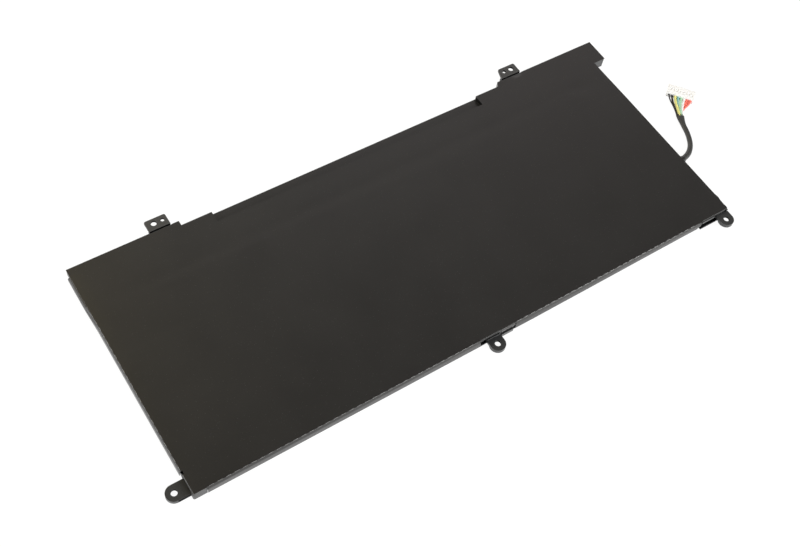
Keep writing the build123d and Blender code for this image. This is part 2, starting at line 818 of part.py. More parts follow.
def inner_wire(index):
    """A wire from the sleeve's inner end, round into the channel and up to its pad on the board."""
    across, rise = stack_offset(index)
    start = sleeve_start + Vector(-sleeve_clearance, across, rise)
    lane = lane_start + index * pin_pitch
    return wire_tube(
        [
            start,
            Vector(lane + wire_bend, start.Y, start.Z),
            Vector(lane, start.Y + wire_bend, wire_z),
            Vector(lane, board_front + solder_reach, wire_z),
        ]
    )


with BuildPart() as inner_wires:
    add([inner_wire(index) for index in range(wire_count)])
inner_wires.part.label = "inner_wires"
export_step(inner_wires.part, "parts/inner_wires.step")

# Connector: housing with one cavity and one front window for each wire, and the contacts inside
housing_plane = Plane(origin=housing_rear, x_dir=-housing_side, z_dir=housing_axis)
cavity_places = [((k - (wire_count - 1) / 2) * pin_pitch, 0) for k in range(wire_count)]
with BuildPart() as connector_housing:
    with BuildSketch(housing_plane):
        Rectangle(housing_width, housing_height)
    extrude(amount=housing_length)
    with BuildSketch(housing_plane):
        with Locations(*cavity_places):
            Rectangle(cavity_size, cavity_size)
    extrude(amount=housing_length - housing_lip, mode=Mode.SUBTRACT)
    with BuildSketch(housing_plane):
        with Locations(*cavity_places):
            Rectangle(pin_window, pin_window)
    extrude(amount=housing_length, mode=Mode.SUBTRACT)
connector_housing.part.label = "connector_housing"
export_step(connector_housing.part, "parts/connector_housing.step")

with BuildPart() as crimp_terminals:
    with BuildSketch(housing_plane.offset(terminal_depth)):
        with Locations(*cavity_places):
            Rectangle(terminal_size, terminal_size)
    extrude(amount=housing_length - housing_lip - terminal_depth)
crimp_terminals.part.label = "crimp_terminals"
export_step(crimp_terminals.part, "parts/crimp_terminals.step")
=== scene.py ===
# %% [markdown]
# A flat laptop battery lies plain face up on a pale table. Three pouch cells sit in a black moulded frame,
# thin black film closes both faces, and a short lead leaves the right side. This lesson dresses the packed
# CAD model: each cell first says what a piece is on the real pack, and then makes it.

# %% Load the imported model
from math import cos, exp, radians, sin

import bmesh
import bpy
from mathutils import Matrix, Vector


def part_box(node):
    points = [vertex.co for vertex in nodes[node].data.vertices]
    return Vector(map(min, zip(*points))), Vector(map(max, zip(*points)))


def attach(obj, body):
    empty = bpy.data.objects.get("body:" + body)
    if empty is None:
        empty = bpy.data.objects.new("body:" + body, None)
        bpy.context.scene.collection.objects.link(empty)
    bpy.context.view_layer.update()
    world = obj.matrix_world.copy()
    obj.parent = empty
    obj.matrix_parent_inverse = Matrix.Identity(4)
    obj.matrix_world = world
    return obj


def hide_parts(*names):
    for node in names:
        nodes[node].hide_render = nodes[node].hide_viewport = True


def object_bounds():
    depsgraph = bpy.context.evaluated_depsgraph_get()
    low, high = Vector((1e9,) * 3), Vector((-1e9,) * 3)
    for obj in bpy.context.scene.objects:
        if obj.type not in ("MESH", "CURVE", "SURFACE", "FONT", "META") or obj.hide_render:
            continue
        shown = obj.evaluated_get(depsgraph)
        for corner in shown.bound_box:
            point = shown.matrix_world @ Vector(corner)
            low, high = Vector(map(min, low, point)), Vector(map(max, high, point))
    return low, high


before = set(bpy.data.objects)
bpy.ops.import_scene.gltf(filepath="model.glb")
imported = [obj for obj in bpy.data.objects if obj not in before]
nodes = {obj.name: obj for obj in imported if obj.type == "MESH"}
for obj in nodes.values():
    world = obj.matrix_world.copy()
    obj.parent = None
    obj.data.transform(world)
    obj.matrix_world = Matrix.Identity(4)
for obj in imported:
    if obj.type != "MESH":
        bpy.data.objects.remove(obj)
cad_low, cad_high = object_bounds()
MM = 0.001
print("nodes", len(nodes), "box in mm", [round(side / MM, 2) for side in cad_high - cad_low])

# %% [markdown]
# The camera comes first, because every later choice is judged through it. The photograph looks down from the
# front left and is a little rolled. The place of the camera was worked out from the four corners of the plain
# face and its known size, so only five numbers are needed: two angles, the roll, the distance and the target.

# %% Camera
view_azimuth = radians(-41.55)
view_elevation = radians(57.18)
view_roll = radians(10.49)
view_distance = 466.7 * MM
view_target = Vector((-13.68, -11.78, 5.3)) * MM
focal_pixels = 1135
image_width = 800
sensor_width = 36


def camera_matrix():
    """Turns the angles into the camera's own right, up and back directions."""
    back = Vector(
        (
            sin(view_azimuth) * cos(view_elevation),
            -cos(view_azimuth) * cos(view_elevation),
            sin(view_elevation),
        )
    )
    level_right = (-back).cross(Vector((0, 0, 1))).normalized()
    level_up = level_right.cross(-back)
    right = level_right * cos(view_roll) + level_up * sin(view_roll)
    up = level_up * cos(view_roll) - level_right * sin(view_roll)
    matrix = Matrix((right, up, back)).transposed().to_4x4()
    matrix.translation = view_target + back * view_distance
    return matrix


camera_data = bpy.data.cameras.new("camera")
camera_data.sensor_width = sensor_width
camera_data.lens = focal_pixels / image_width * sensor_width
camera = bpy.data.objects.new("camera", camera_data)
camera.matrix_world = camera_matrix()
bpy.context.scene.collection.objects.link(camera)
bpy.context.scene.camera = camera
print("lens", round(camera_data.lens, 2), "mm")

# %% [markdown]
# Small helpers keep the later cells short. One turns a finished bmesh into a piece that rides on the pack,
# and one cuts a bmesh along a plane, which is how a single outline face becomes a fine grid.

# %% Helpers for meshes
sharp_angle = radians(38)
touching = 1e-6
welded = 1e-7


def finish_piece(bm, name, *materials, replaced=()):
    """Makes a bmesh an object that rides on the pack and stands for the CAD nodes that it replaces."""
    for face in bm.faces:
        face.smooth = True
    mesh = bpy.data.meshes.new(name)
    bm.to_mesh(mesh)
    bm.free()
    mesh.set_sharp_from_angle(angle=sharp_angle)
    for material in materials:
        mesh.materials.append(material)
    piece = bpy.data.objects.new(name, mesh)
    bpy.context.scene.collection.objects.link(piece)
    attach(piece, "root")
    if replaced:
        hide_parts(*replaced)
    return piece


def cut(bm, place, normal):
    """Splits every face that a plane crosses."""
    bmesh.ops.bisect_plane(
        bm,
        geom=[*bm.verts, *bm.edges, *bm.faces],
        dist=welded,
        plane_co=place,
        plane_no=normal,
    )


def close_tube(bm):
    """Merges the caps of tubes with their walls and turns every face outwards."""
    bmesh.ops.remove_doubles(bm, verts=bm.verts, dist=welded)
    bmesh.ops.recalc_face_normals(bm, faces=bm.faces)


def ease(value):
    """Smooth step from 0 to 1."""
    value = min(max(value, 0), 1)
    return value * value * (3 - 2 * value)


def hump(value, centre, width):
    """A soft bump of height 1."""
    return exp(-(((value - centre) / width) ** 2))


# %% [markdown]
# The finishes share a few effects, so each effect is built once as a node group. The first group is the fine
# grain of a moulded or printed surface with broad, faint blotches. The second is handling: hair scratches and
# specks of dust. Both read Object coordinates, so a pattern stays where it is on the pack.

# %% Shared shader groups
def add_math(tree, operation):
    """A math node with its operation set."""
    node = tree.nodes.new("ShaderNodeMath")
    node.operation = operation
    return node


def add_range(tree, low, high):
    """A map range node that stretches the span from low to high."""
    node = tree.nodes.new("ShaderNodeMapRange")
    node.inputs["From Min"].default_value = low
    node.inputs["From Max"].default_value = high
    return node


def shader_group(title, inputs, outputs):
    """An empty shader group with named sockets, and its input and output nodes."""
    tree = bpy.data.node_groups.new(title, "ShaderNodeTree")
    for label, value in inputs:
        kind = "NodeSocketVector" if label == "Vector" else "NodeSocketFloat"
        socket = tree.interface.new_socket(label, in_out="INPUT", socket_type=kind)
        if value is not None:
            socket.default_value = value
    for label in outputs:
        tree.interface.new_socket(label, in_out="OUTPUT", socket_type="NodeSocketFloat")
    return tree, tree.nodes.new("NodeGroupInput"), tree.nodes.new("NodeGroupOutput")


def make_grain_group():
    """Fine grain for bump, and broad blotches for colour and roughness."""
    tree, given, made = shader_group(
        "surface_grain",
        [("Vector", None), ("Grain scale", 4000), ("Blotch scale", 60)],
        ["Grain", "Blotch"],
    )
    add, link = tree.nodes.new, tree.links.new
    grain = add("ShaderNodeTexNoise")
    grain.inputs["Detail"].default_value = 3
    blotch = add("ShaderNodeTexNoise")
    blotch.inputs["Detail"].default_value = 4
    blotch.inputs["Roughness"].default_value = 0.6
    for texture, scale, output in (
        (grain, "Grain scale", "Grain"),
        (blotch, "Blotch scale", "Blotch"),
    ):
        link(given.outputs["Vector"], texture.inputs["Vector"])
        link(given.outputs[scale], texture.inputs["Scale"])
        link(texture.outputs["Fac"], made.inputs[output])
    return tree


def make_handling_group():
    """Hair scratches in two directions, and specks of dust on what faces up."""
    tree, given, made = shader_group(
        "handling_marks",
        [("Vector", None), ("Scratch scale", 90), ("Dust scale", 900), ("Dust amount", 0.5)],
        ["Scratch", "Dust"],
    )
    add, link = tree.nodes.new, tree.links.new
    masks = []
    for turn, stretch in ((0.35, 0.02), (-0.8, 0.03)):
        mapping = add("ShaderNodeMapping")
        mapping.inputs["Rotation"].default_value = (0, 0, turn)
        mapping.inputs["Scale"].default_value = (stretch, 1, 1)
        hair = add("ShaderNodeTexNoise")
        hair.inputs["Detail"].default_value = 2
        narrow = add_range(tree, 0.70, 0.78)
        link(given.outputs["Vector"], mapping.inputs["Vector"])
        link(mapping.outputs["Vector"], hair.inputs["Vector"])
        link(given.outputs["Scratch scale"], hair.inputs["Scale"])
        link(hair.outputs["Fac"], narrow.inputs["Value"])
        masks.append(narrow)
    either = add_math(tree, "MAXIMUM")
    link(masks[0].outputs["Result"], either.inputs[0])
    link(masks[1].outputs["Result"], either.inputs[1])
    link(either.outputs["Value"], made.inputs["Scratch"])
    specks = add("ShaderNodeTexVoronoi")
    small = add_range(tree, 0.10, 0.04)
    facing = add("ShaderNodeNewGeometry")
    split = add("ShaderNodeSeparateXYZ")
    level = add_range(tree, 0.5, 0.95)
    lying = add_math(tree, "MULTIPLY")
    weighed = add_math(tree, "MULTIPLY")
    link(given.outputs["Vector"], specks.inputs["Vector"])
    link(given.outputs["Dust scale"], specks.inputs["Scale"])
    link(specks.outputs["Distance"], small.inputs["Value"])
    link(facing.outputs["Normal"], split.inputs["Vector"])
    link(split.outputs["Z"], level.inputs["Value"])
    link(small.outputs["Result"], lying.inputs[0])
    link(level.outputs["Result"], lying.inputs[1])
    link(lying.outputs["Value"], weighed.inputs[0])
    link(given.outputs["Dust amount"], weighed.inputs[1])
    link(weighed.outputs["Value"], made.inputs["Dust"])
    return tree


grain_group = make_grain_group()
handling_group = make_handling_group()
print("groups", [group.name for group in bpy.data.node_groups])

# %% [markdown]
# One function builds every plain finish of the pack from those groups: two close tones mixed by the blotches,
# a little dust, a roughness that wanders between two values and rises along scratches, and a bump from the
# grain. Values that are the same all over, such as metallic or the specular level, stay on the shader itself.

# %% The finish function
def finish(
    name,
    tone,
    second_tone,
    rough=(0.4, 0.5),
    grain=4000,
    blotch=60,
    depth=0.02,
    dust=0.0,
    scratch=0.0,
    dust_tone=(0.35, 0.34, 0.32),
    **plain,
):
    """A material of two close tones with grain, blotches and handling marks."""
    material = bpy.data.materials.new(name)
    material.use_nodes = True
    tree = material.node_tree
    add, link = tree.nodes.new, tree.links.new
    shader = tree.nodes["Principled BSDF"]
    for label, value in plain.items():
        shader.inputs[label.replace("_", " ")].default_value = value
    place = add("ShaderNodeTexCoord")
    surface = add("ShaderNodeGroup")
    surface.node_tree = grain_group
    surface.inputs["Grain scale"].default_value = grain
    surface.inputs["Blotch scale"].default_value = blotch
    marks = add("ShaderNodeGroup")
    marks.node_tree = handling_group
    marks.inputs["Dust amount"].default_value = dust
    for group in (surface, marks):
        link(place.outputs["Object"], group.inputs["Vector"])
    tones = add("ShaderNodeMix")
    tones.data_type = "RGBA"
    tones.inputs[6].default_value = (*tone, 1)
    tones.inputs[7].default_value = (*second_tone, 1)
    link(surface.outputs["Blotch"], tones.inputs[0])
    dusted = add("ShaderNodeMix")
    dusted.data_type = "RGBA"
    dusted.inputs[7].default_value = (*dust_tone, 1)
    link(marks.outputs["Dust"], dusted.inputs[0])
    link(tones.outputs[2], dusted.inputs[6])
    link(dusted.outputs[2], shader.inputs["Base Color"])
    wander = add_range(tree, 0.3, 0.7)
    wander.inputs["To Min"].default_value = rough[0]
    wander.inputs["To Max"].default_value = rough[1]
    rubbed = add_math(tree, "MULTIPLY_ADD")
    rubbed.inputs[1].default_value = scratch
    link(surface.outputs["Blotch"], wander.inputs["Value"])
    link(marks.outputs["Scratch"], rubbed.inputs[0])
    link(wander.outputs["Result"], rubbed.inputs[2])
    link(rubbed.outputs["Value"], shader.inputs["Roughness"])
    bump = add("ShaderNodeBump")
    bump.inputs["Strength"].default_value = 0.5
    bump.inputs["Distance"].default_value = depth * MM
    link(surface.outputs["Grain"], bump.inputs["Height"])
    link(bump.outputs["Normal"], shader.inputs["Normal"])
    return material


# %% [markdown]
# The colours are written as linear values. Film and frame are both nearly black, the film a touch warmer,
# and most of what is seen on them is the soft sheen of the studio, so their roughness matters more than
# their tone.

# %% Finishes of the pack
film_black = finish(
    "film_black",
    (0.0132, 0.0123, 0.0112),
    (0.0152, 0.0143, 0.0130),
    rough=(0.36, 0.42),
    grain=5200,
    blotch=42,
    depth=0.012,
    dust=0.25,
    scratch=0.05,
)
# Pale grey for the faces inside the cuts along the folds, so that each cut reads as a light dash
pale_slit_grey = finish(
    "pale_slit_grey", (0.20, 0.20, 0.20), (0.28, 0.28, 0.28), rough=(0.4, 0.55), grain=3000, blotch=900
)
moulded_black = finish(
    "moulded_black",
    (0.0255, 0.0262, 0.0262),
    (0.0310, 0.0318, 0.0318),
    rough=(0.42, 0.52),
    grain=3600,
    blotch=110,
    depth=0.03,
    dust=0.2,
    scratch=0.04,
)
# Painted light: a lighter copy of the moulded black for the back tabs, which belong to the same moulding; it
# stands in for the light on them
lit_tab_black = finish(
    "lit_tab_black",
    (0.040, 0.040, 0.039),
    (0.048, 0.048, 0.047),
    rough=(0.46, 0.56),
    grain=3600,
    blotch=110,
    depth=0.03,
)
# Painted shade: a near-black, dull finish with a low specular level, standing in for the shadow deep in
# pockets, slits, hollows and holes of the frame
painted_shade_black = finish(
    "painted_shade_black", (0.0035, 0.0035, 0.0035), (0.005, 0.005, 0.005), rough=(0.7, 0.85), Specular_IOR_Level=0.1
)
sleeve_black = finish(
    "sleeve_black",
    (0.030, 0.030, 0.028),
    (0.038, 0.038, 0.036),
    rough=(0.45, 0.6),
    grain=2600,
    blotch=400,
    depth=0.03,
)
nylon_white = finish(
    "nylon_white", (0.97, 0.97, 0.96), (0.98, 0.98, 0.97), rough=(0.35, 0.45), grain=2400, blotch=200
)
wire_tones = {
    "black_wires": (0.007, 0.007, 0.007),
    "yellow_wire": (0.90, 0.84, 0.28),
    "blue_wire": (0.22, 0.50, 0.50),
    "green_wire": (0.44, 0.72, 0.47),
    "white_wire": (0.95, 0.95, 0.94),
    "red_wires": (0.92, 0.19, 0.14),
}
wire_shade = 0.86
wire_finish = {
    name: finish(
        name, tone, tuple(part * wire_shade for part in tone), rough=(0.32, 0.42), grain=1800, blotch=700
    )
    for name, tone in wire_tones.items()
}
print("finishes", len(bpy.data.materials))

# %% [markdown]
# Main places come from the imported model, so the pieces fit it with no measuring. The box of the top film
# gives the edges of the plain face, and the sizes below are the same ones that the CAD source uses.

# %% Places
film_low, film_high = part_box("top_film")
left, front, back, top = film_low.x, film_low.y, film_high.y, film_high.z
block_right = film_high.x
block_reach = 6.3 * MM
block_depth = 12.0 * MM
right = block_right - block_reach
middle = (left + right) / 2
film_thickness = 0.15 * MM
step_half = 81.4 * MM
step_depth = 2.4 * MM
step_chamfer = 1.4 * MM
ledge_half = 67.8 * MM
ledge_offset = 0.3 * MM
ledge_left = middle + ledge_offset - ledge_half
ledge_right = middle + ledge_offset + ledge_half
ledge_width = 5.4 * MM
step_back = back - step_depth
ledge_front = step_back - ledge_width
corner_foot = 5.7 * MM
right_foot = 14.8 * MM
film_setback = 0.5 * MM
flap_clear = 1.3 * MM
lug_radius = 3.4 * MM
front_lug_x = middle + 3.3 * MM
foot_left = front_lug_x - 6.8 * MM
foot_right = front_lug_x + 9.7 * MM
left_flap_front = front + 10.2 * MM
corner_back = left_flap_front - flap_clear
left_flap_back = back - 3.8 * MM
print("plain face in mm", round((right - left) / MM, 2), "by", round((back - front) / MM, 2))

# %% [markdown]
# The top film is one sheet of thin plastic, cut to the outline of the plain face and stuck to the cells. Its
# front and left edges are folded down along rows of short cuts. A box would show none of this, so the sheet
# starts as one outline face, is cut into a grid, and its edges are extruded row by row round the fold and
# down the flap. A few sections give the shape of each flap along its edge: the fold is tight at the left and
# soft at the right, and the free edge stands a little off the wall, as film does that was bent by hand.

# %% Sections of the flaps
fold_angles = [8, 38, 60, 76, 90]
slit_row = 1
slit_pitch = 3.5 * MM
slit_length = 2.0 * MM
short_gap = 0.35 * MM
flap_gap = 0.55 * MM

# Each section: place along the edge, fold radius, then out and down of three points, all in millimetres
front_left_flap = {
    "axis": 0,
    "edge": front,
    "start": left + corner_foot,
    "end": foot_left - short_gap,
    "lean": (0, 0.5 * MM),
    "slits": True,
    "sections": [
        (-124.2, 0.30, 0.40, 0.95, 0.46, 2.2, 0.45, 4.2),
        (-40.0, 0.34, 0.36, 0.90, 0.47, 2.1, 0.54, 3.85),
        (-15.0, 0.38, 0.22, 0.80, 0.40, 2.0, 0.56, 3.7),
    ],
}
lug_fold = {
    "axis": 0,
    "edge": front,
    "start": foot_left,
    "end": front_lug_x + lug_radius - short_gap,
    "lean": (0, 0),
    "slits": False,
    "sections": [(0.0, 0.55, 0.03, 0.60, 0.04, 0.66, 0.05, 0.72)],
}
short_flap = {
    "axis": 0,
    "edge": front,
    "start": front_lug_x + lug_radius,
    "end": foot_right + flap_gap,
    "lean": (0, 0),
    "slits": False,
    "sections": [(8.0, 0.40, 0.08, 0.7, 0.12, 1.4, 0.10, 2.2)],
}
front_right_flap = {
    "axis": 0,
    "edge": front,
    "start": foot_right + 2 * flap_gap,
    "end": right - right_foot - flap_clear / 2,
    "lean": (-0.4 * MM, -2.2 * MM),
    "slits": True,
    "sections": [
        (25.0, 0.45, 0.20, 0.8, 0.45, 1.9, 0.68, 3.5),
        (50.0, 0.52, 0.16, 0.8, 0.38, 1.8, 0.57, 3.35),
        (80.0, 0.60, 0.12, 0.9, 0.28, 1.8, 0.41, 3.15),
        (108.0, 0.72, 0.10, 1.0, 0.18, 1.8, 0.27, 3.0),
    ],
}
foot_fold = {
    "axis": 0,
    "edge": front + film_setback,
    "start": right - right_foot,
    "end": right,
    "lean": (0, 0),
    "slits": False,
    "sections": [(120.0, 0.40, 0.03, 0.44, 0.05, 0.50, 0.07, 0.56)],
}
corner_fold = {
    "axis": 1,
    "edge": left,
    "start": front,
    "end": corner_back,
    "lean": (0, 0),
    "slits": False,
    "sections": [(-50.0, 0.50, 0.02, 0.56, 0.03, 0.64, 0.04, 0.72)],
}
left_flap = {
    "axis": 1,
    "edge": left,
    "start": left_flap_front,
    "end": left_flap_back,
    "lean": (0, 0),
    "slits": True,
    "sections": [
        (-43.0, 0.36, 0.26, 0.9, 0.40, 1.8, 0.46, 3.2),
        (0.0, 0.34, 0.28, 0.9, 0.42, 1.8, 0.46, 3.3),
        (25.0, 0.34, 0.32, 0.9, 0.44, 1.8, 0.48, 3.3),
        (36.0, 0.12, 0.55, 0.32, 0.98, 0.72, 0.95, 2.4),
        (51.0, 0.12, 0.50, 0.34, 0.94, 0.74, 0.92, 2.4),
    ],
}
front_flaps = [front_left_flap, lug_fold, short_flap, front_right_flap, foot_fold]
side_flaps = [left_flap, corner_fold]


def section_at(flap, place):
    """The numbers of a flap's section at one place along its edge, in metres."""
    rows = flap["sections"]
    place = min(max(place / MM, rows[0][0]), rows[-1][0])
    for low, high in zip(rows, rows[1:]):
        if place <= high[0]:
            share = (place - low[0]) / (high[0] - low[0])
            return [(a + share * (b - a)) * MM for a, b in zip(low[1:], high[1:])]
    return [value * MM for value in rows[-1][1:]]


def section_points(flap, place):
    """Out and down of every row: round the fold, then through the three points with one between each pair."""
    fold, *rest = section_at(flap, place)
    points = [
        (-fold * (1 - sin(radians(angle))), fold * (1 - cos(radians(angle)))) for angle in fold_angles
    ]
    stops = [points[-1], *zip(rest[0::2], rest[1::2])]
    for (out_a, down_a), (out_b, down_b) in zip(stops, stops[1:]):
        points.append(((out_a + out_b) / 2, (down_a + down_b) / 2))
        points.append((out_b, down_b))
    return points


def slit_spans(flap):
    """The two ends of each cut along a flap's fold."""
    count = int((flap["end"] - flap["start"]) / slit_pitch)
    centres = [flap["start"] + slit_pitch * (k + 0.5) for k in range(count)]
    return [(centre - slit_length / 2, centre + slit_length / 2) for centre in centres]


def in_spans(value, spans):
    """Whether a value lies inside one of the spans."""
    return any(low < value < high for low, high in spans)


row_count = len(section_points(left_flap, 0))
slit_total = sum(len(slit_spans(flap)) for flap in front_flaps + side_flaps if flap["slits"])
print("rows of a flap", row_count, "cuts", slit_total)

# %% Outline and grid of the film
grid_step = 6 * MM
corner_step = 0.8 * MM
droop_place = 94.0 * MM
tab_spans = [(-93.3 * MM, -83.7 * MM), (86.3 * MM, 96.9 * MM)]
tab_relief = 0.35 * MM
tab_blend = 0.4 * MM
flap_notch = 0.9 * MM
wide_gap = flap_gap * 1.01
droop_cuts = 4
front_cuts = 15
back_cuts = 23


def fold_start(flap, place):
    """Where the flat face ends and a flap's fold begins."""
    return flap["edge"] + section_at(flap, place)[0]


def film_corners():
    """The stepped outline; where a flap hangs, the face stops at the start of its fold."""
    corners = [(fold_start(corner_fold, front), front)]
    ends = [flap["start"] for flap in front_flaps[1:]] + [right]
    for flap, following in zip(front_flaps, ends):
        if flap["start"] - corners[-1][0] > wide_gap:
            corners.append((flap["start"], corners[-1][1]))
        corners.append((flap["start"], fold_start(flap, flap["start"])))
        for section in flap["sections"]:
            if flap["start"] < section[0] * MM < flap["end"]:
                corners.append((section[0] * MM, fold_start(flap, section[0] * MM)))
        corners.append((flap["end"], fold_start(flap, flap["end"])))
        if following - flap["end"] > wide_gap:
            corners.append((flap["end"], front))
    corners += [
        (right, back - block_depth),
        (block_right, back - block_depth),
        (block_right, back),
        (middle + step_half + step_chamfer / 2, back),
        (middle + step_half - step_chamfer / 2, step_back),
        (ledge_right, step_back),
        (ledge_right, ledge_front),
        (ledge_left, ledge_front),
        (ledge_left, step_back),
        (middle - step_half, step_back),
        (middle - step_half, back),
        (left, back),
        (left, left_flap_back),
    ]
    for section in [(left_flap_back / MM,), *reversed(left_flap["sections"]), (left_flap_front / MM,)]:
        if left_flap_front <= section[0] * MM <= left_flap_back:
            corners.append((fold_start(left_flap, section[0] * MM), section[0] * MM))
    corners += [
        (left + flap_notch, left_flap_front),
        (left + flap_notch, corner_back),
        (fold_start(corner_fold, corner_back), corner_back),
    ]
    return corners


bm = bmesh.new()
bm.faces.new([bm.verts.new((x, y, top)) for x, y in film_corners()])
bm.normal_update()
for flap in front_flaps + side_flaps:
    lines = [value for span in slit_spans(flap) for value in span] if flap["slits"] else []
    for value in lines:
        cut(bm, (value, value, 0), (1 - flap["axis"], flap["axis"], 0))
for k in range(1, int((block_right - left) / grid_step) + 1):
    cut(bm, (left + k * grid_step, 0, 0), (1, 0, 0))
for k in range(-droop_cuts, droop_cuts + 1):
    cut(bm, (droop_place + k * corner_step, 0, 0), (1, 0, 0))
for place in [value + side * tab_blend / 2 for span in tab_spans for value in span for side in (-1, 1)]:
    cut(bm, (place, 0, 0), (1, 0, 0))
for k in range(1, front_cuts + 1):
    cut(bm, (0, front + k * corner_step, 0), (0, 1, 0))
for k in range(1, back_cuts + 1):
    cut(bm, (0, back - k * corner_step, 0), (0, 1, 0))
print("flat faces", len(bm.faces))

# %% Fold the flaps down
lean_reach = 6 * MM
lean_top = top - 0.2 * MM
lean_drop = 3.6 * MM


def hang(bm, flap):
    """Extrudes a flap's edges once for each row, and returns the faces of the row with the cuts."""
    axis = flap["axis"]
    edges = [
        edge
        for edge in bm.edges
        if all(
            flap["start"] - touching < vert.co[axis] < flap["end"] + touching
            and abs(vert.co[1 - axis] - fold_start(flap, vert.co[axis])) < touching
            for vert in edge.verts
        )
    ]
    slit_faces = []
    for row in range(row_count):
        made = bmesh.ops.extrude_edge_only(bm, edges=edges)["geom"]
        fresh = {item for item in made if isinstance(item, bmesh.types.BMVert)}
        edges = [
            item
            for item in made
            if isinstance(item, bmesh.types.BMEdge) and all(vert in fresh for vert in item.verts)
        ]
        for vert in fresh:
            out, down = section_points(flap, vert.co[axis])[row]
            vert.co[1 - axis] = flap["edge"] - out
            vert.co.z = top - down
        if row == slit_row and flap["slits"]:
            spans = slit_spans(flap)
            slit_faces = [
                face
                for face in {face for edge in edges for face in edge.link_faces}
                if in_spans(face.calc_center_median()[axis], spans)
            ]
    return slit_faces


def lean_ends(bm, flap):
    """Shifts the two ends of a flap along the edge, more the lower a vertex hangs."""
    for vert in bm.verts:
        place = vert.co[flap["axis"]]
        hung = flap["edge"] - vert.co[1 - flap["axis"]] > -touching and vert.co.z < lean_top
        if hung and flap["start"] - touching < place < flap["end"] + touching:
            depth = ease((top - vert.co.z) / lean_drop)
            from_start = ease(1 - (place - flap["start"]) / lean_reach)
            from_end = ease(1 - (flap["end"] - place) / lean_reach)
            vert.co[flap["axis"]] += depth * (flap["lean"][0] * from_start + flap["lean"][1] * from_end)


slit_faces = []
for flap in front_flaps + side_flaps:
    slit_faces += hang(bm, flap)
for flap in front_flaps:
    lean_ends(bm, flap)
print("cut faces", len(slit_faces))

# %% Relief, thickness and finish of the film
bay_edge = back - 20 * MM
bay_blend = 3 * MM
side_blend = 8 * MM
joint_places = (-49.0 * MM, 30.8 * MM)
joint_width = 2.6 * MM
joint_sink = 0.03
channel_place = 110.5 * MM
channel_width = 3.4 * MM
channel_rise = 0.03
wall_place = back - 20.4 * MM
wall_width = 2.4 * MM
wall_sink = 0.025
dent_x, dent_y = 115 * MM, 33 * MM
dent_length, dent_width = 4 * MM, 3 * MM
dent_sink = 0.06
droop_width = 1.8 * MM
droop_reach = 1.7 * MM
droop_sink = 0.5
bulge = 0.26
bulge_blend = 30 * MM
bulge_start = 6 * MM
bump_width = 1.2 * MM
slit_inset = 0.02 * MM
slit_depth = 0.04 * MM


def relief(x, y):
    """How far the film sinks between the cells and over the bay wall, and rises along the lead channel."""
    field = ease((bay_edge - y) / bay_blend) * ease((y - front) / side_blend)
    joints = sum(hump(x, place, joint_width) for place in joint_places) * field
    channel = hump(x, channel_place, channel_width) * field
    wall = hump(y, wall_place, wall_width) * ease((right - x) / side_blend) * ease((x - left) / side_blend)
    dent = hump(x, dent_x, dent_length) * hump(y, dent_y, dent_width)
    droop = hump(x, droop_place, droop_width) * ease((y - back + droop_reach) / droop_reach)
    sink = joint_sink * joints - channel_rise * channel + wall_sink * wall + dent_sink * dent
    return (sink + droop_sink * droop) * MM


def edge_bulge(y):
    """How far the right edge stands out: a little all along, with two bumps near the front."""
    bumps = 0.32 * hump(y, -47.1 * MM, bump_width) + 0.28 * hump(y, -53.0 * MM, bump_width)
    along = ease((back - block_depth - y) / bulge_blend) * ease((y - front) / bulge_start)
    return (bulge * along + bumps) * MM


def tab_share(x):
    """1 along the roots of the two back tabs, where the film stops short of the groove, and 0 elsewhere."""
    return max(
        ease((x - low) / tab_blend + 0.5) * ease((high - x) / tab_blend + 0.5) for low, high in tab_spans
    )


for vert in bm.verts:
    if vert.co.z > top - touching:
        if abs(vert.co.x - right) < touching:
            vert.co.x += edge_bulge(vert.co.y)
        if abs(vert.co.y - back) < touching:
            vert.co.y -= tab_relief * tab_share(vert.co.x)
        vert.co.z -= relief(vert.co.x, vert.co.y)
bmesh.ops.recalc_face_normals(bm, faces=bm.faces)
if sum(face.normal.z * face.calc_area() for face in bm.faces) < 0:
    bmesh.ops.reverse_faces(bm, faces=bm.faces)
walls = bmesh.ops.inset_individual(bm, faces=slit_faces, thickness=slit_inset, depth=-slit_depth)["faces"]
# The faces inside the cuts get the pale grey
for face in [*slit_faces, *walls]:
    face.material_index = 1
bmesh.ops.solidify(bm, geom=bm.faces[:], thickness=film_thickness)
top_film = finish_piece(bm, "film_skin", film_black, pale_slit_grey, replaced=["top_film"])
print("film faces", len(top_film.data.polygons))

# %% [markdown]
# The frame is one moulding, and its CAD shape is nearly right. What a mould adds is softness: no edge of a
# plastic part is perfectly sharp, and the thin light line along an edge is what makes it read as plastic. So
# a copy of the CAD mesh is merged, its flat faces are joined, a few sills are pulled out of its walls, and
# every sharp edge gets a small bevel.

# %% Plain copy of the frame, with its sills and pin holes
edge_radius = 0.09 * MM
lug_reach = 3.05 * MM
lug_thickness = 1.2 * MM
lug_bore = 1.3 * MM
low_lug_top = 2.2 * MM
high_lug_top = 4.0 * MM
left_lug_reach = 5.1 * MM
left_lug_place = 5.3 * MM
right_lug_inset = 3.1 * MM
left_lug = Vector((left - left_lug_reach, front + left_lug_place, low_lug_top))
front_lug = Vector((front_lug_x, front - lug_reach, low_lug_top))
right_lug = Vector((right - right_lug_inset, front - lug_reach, high_lug_top))
tab_thickness = 1.1 * MM
tab_root = 0.5 * MM
tab_shift = 0.9 * MM
tab_hole_reach = 3.8 * MM
tab_middle = Vector((middle + tab_shift, back + tab_hole_reach, top))
screw_bore = 1.25 * MM
screw_half = 91.8 * MM
pin_bore = 0.75 * MM
pin_half = 87.85 * MM
pin_swell = 1.13
pin_rim = 1.05
pins = [tab_middle + Vector((side * pin_half, 0, 0)) for side in (-1, 1)]
screws = [tab_middle + Vector((side * screw_half, 0, 0)) for side in (-1, 1)]

